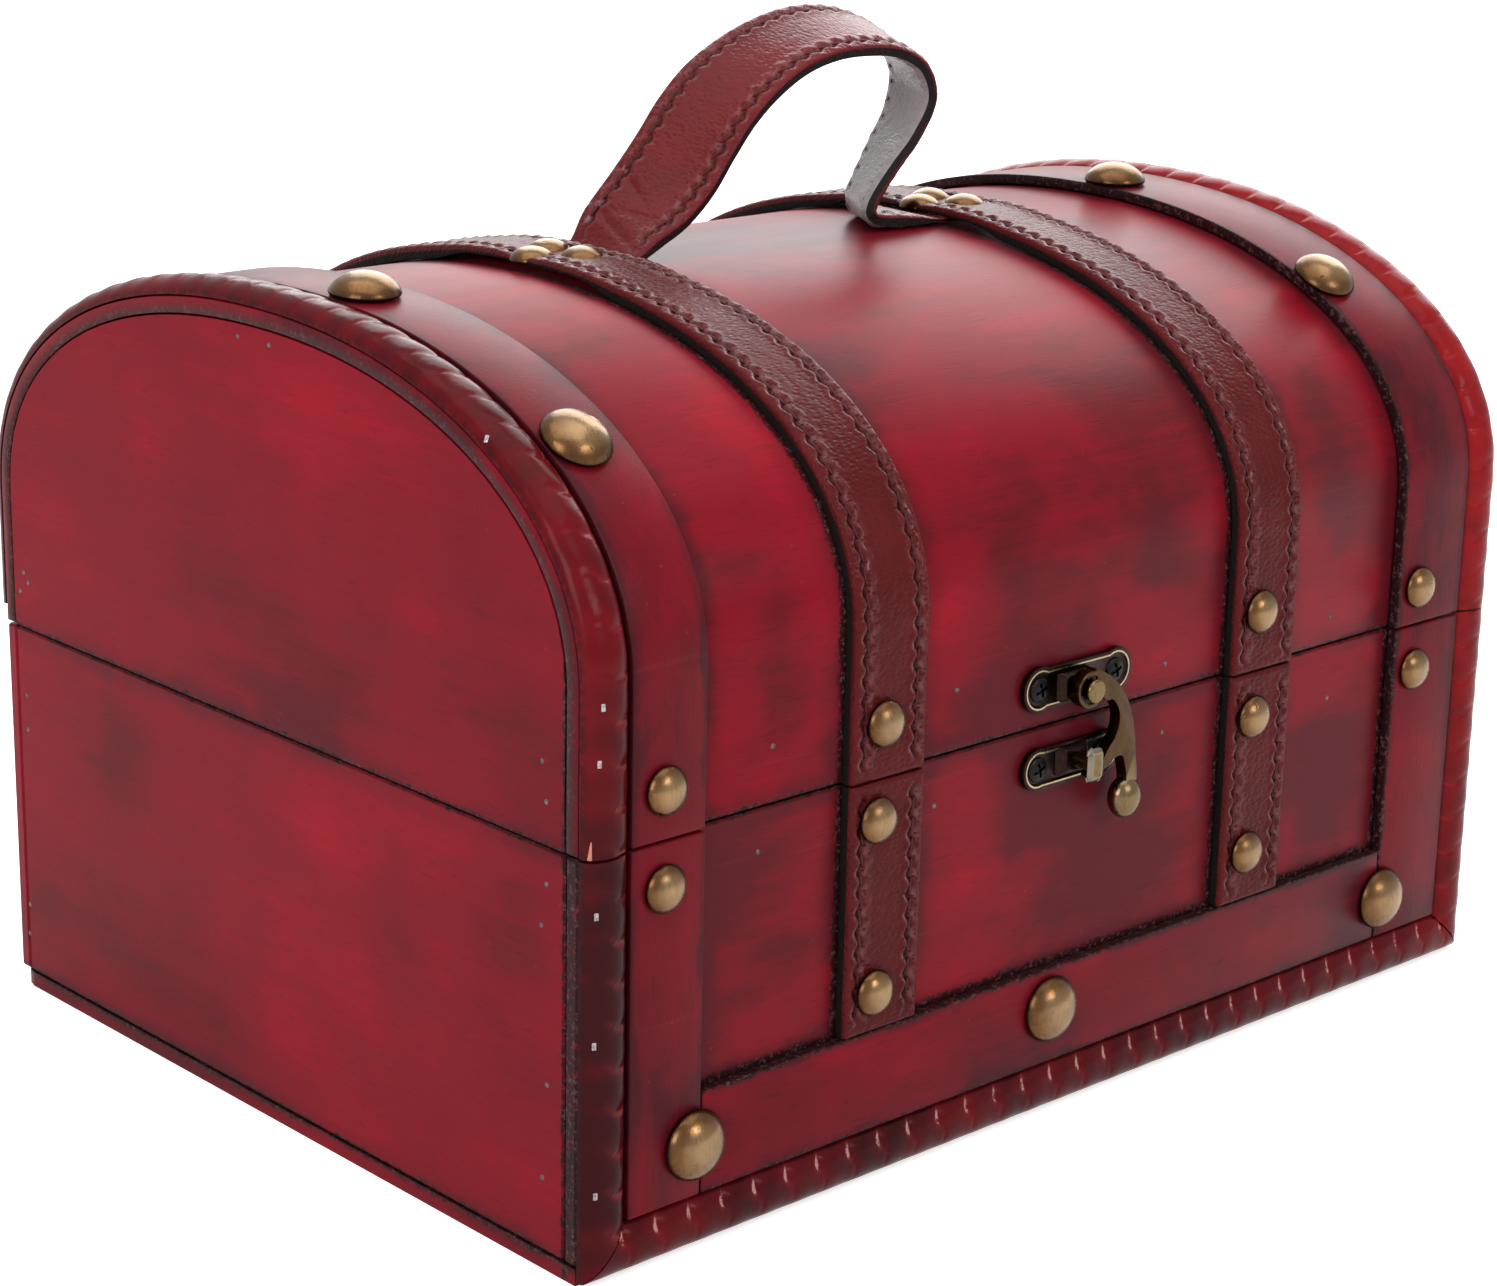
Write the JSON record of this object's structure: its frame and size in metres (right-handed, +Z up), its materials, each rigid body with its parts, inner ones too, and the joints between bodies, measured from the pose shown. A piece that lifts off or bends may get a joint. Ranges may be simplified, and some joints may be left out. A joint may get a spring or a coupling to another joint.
{
  "type": "jewelry box",
  "caption": "Domed wooden jewelry box with a hinged arched lid, scalloped bead mouldings, leather straps and loop handle, domed nails and a swing hook clasp.",
  "frame": {"origin": "middle of the underside of the bottom board", "axes": "+X to the right along the width seen from the front, -Y out of the front, +Z up"},
  "size_m": [0.224, 0.1735, 0.1815],
  "materials": {
    "red_wood": "satin red stain over plywood",
    "bead_wood": "glossy dark red stain",
    "band_wood": "satin dark red stain",
    "rail_wood": "thin red stain, plain",
    "strap_leather": "satin, creased",
    "handle_leather": "satin, creased",
    "brass_nail": "aged, brushed",
    "clasp_brass": "antique, worn edges",
    "clasp_bronze": "dark antique, worn edges",
    "hinge_bronze": "dark antique"
  },
  "bodies": {
    "base": {"bottom_board": "red_wood", "base_front_panel": "red_wood", "base_back_panel": "red_wood", "base_end_left": "red_wood", "base_end_right": "red_wood", "base_rail_front": "rail_wood", "base_rail_back": "rail_wood", "floor_rail_front": "rail_wood", "floor_rail_back": "rail_wood", "corner_bead_left": "bead_wood", "corner_bead_right": "bead_wood", "bottom_bead": "bead_wood", "base_band_left": "band_wood", "base_band_right": "band_wood", "bottom_band": "band_wood", "base_strap_left": "strap_leather", "base_strap_right": "strap_leather", "bottom_nail_left": "brass_nail", "bottom_nail_middle": "brass_nail", "bottom_nail_right": "brass_nail", "base_band_nail_left": "brass_nail", "base_band_nail_right": "brass_nail", "base_strap_nail_left_upper": "brass_nail", "base_strap_nail_left_lower": "brass_nail", "base_strap_nail_right_upper": "brass_nail", "base_strap_nail_right_lower": "brass_nail", "keeper_plate": "clasp_bronze", "hinge_base_leaf_left": "hinge_bronze", "hinge_base_leaf_right": "hinge_bronze"},
    "lid": {"lid_shell": "red_wood", "lid_end_left": "red_wood", "lid_end_right": "red_wood", "lid_rail_front": "rail_wood", "lid_rail_back": "rail_wood", "lid_ridge_rail": "rail_wood", "lid_bead_left": "bead_wood", "lid_bead_right": "bead_wood", "lid_band_left": "band_wood", "lid_band_right": "band_wood", "lid_strap_left": "strap_leather", "lid_strap_right": "strap_leather", "handle": "handle_leather", "lid_nail_left_front": "brass_nail", "lid_nail_left_top": "brass_nail", "lid_nail_right_front": "brass_nail", "lid_nail_right_top": "brass_nail", "lid_band_nail_left": "brass_nail", "lid_band_nail_right": "brass_nail", "lid_strap_nail_left": "brass_nail", "lid_strap_nail_right": "brass_nail", "handle_nail_left_1": "brass_nail", "handle_nail_left_2": "brass_nail", "handle_nail_left_3": "brass_nail", "handle_nail_right_1": "brass_nail", "handle_nail_right_2": "brass_nail", "handle_nail_right_3": "brass_nail", "latch_plate": "clasp_bronze", "hinge_lid_leaf_left": "hinge_bronze", "hinge_lid_leaf_right": "hinge_bronze"},
    "hook": {"latch_hook": "clasp_brass"}
  },
  "joints": [
    {"name": "lid_hinge", "type": "hinge", "parent": "base", "child": "lid", "pos_m": [0, 0.08335, 0.0705], "axis": [-1, 0, 0], "range_deg": [0, 105]},
    {"name": "latch_swing", "type": "hinge", "parent": "lid", "child": "hook", "pos_m": [-0.004, -0.0813, 0.0771], "axis": [0, -1, 0], "range_deg": [0, 180]}
  ]
}
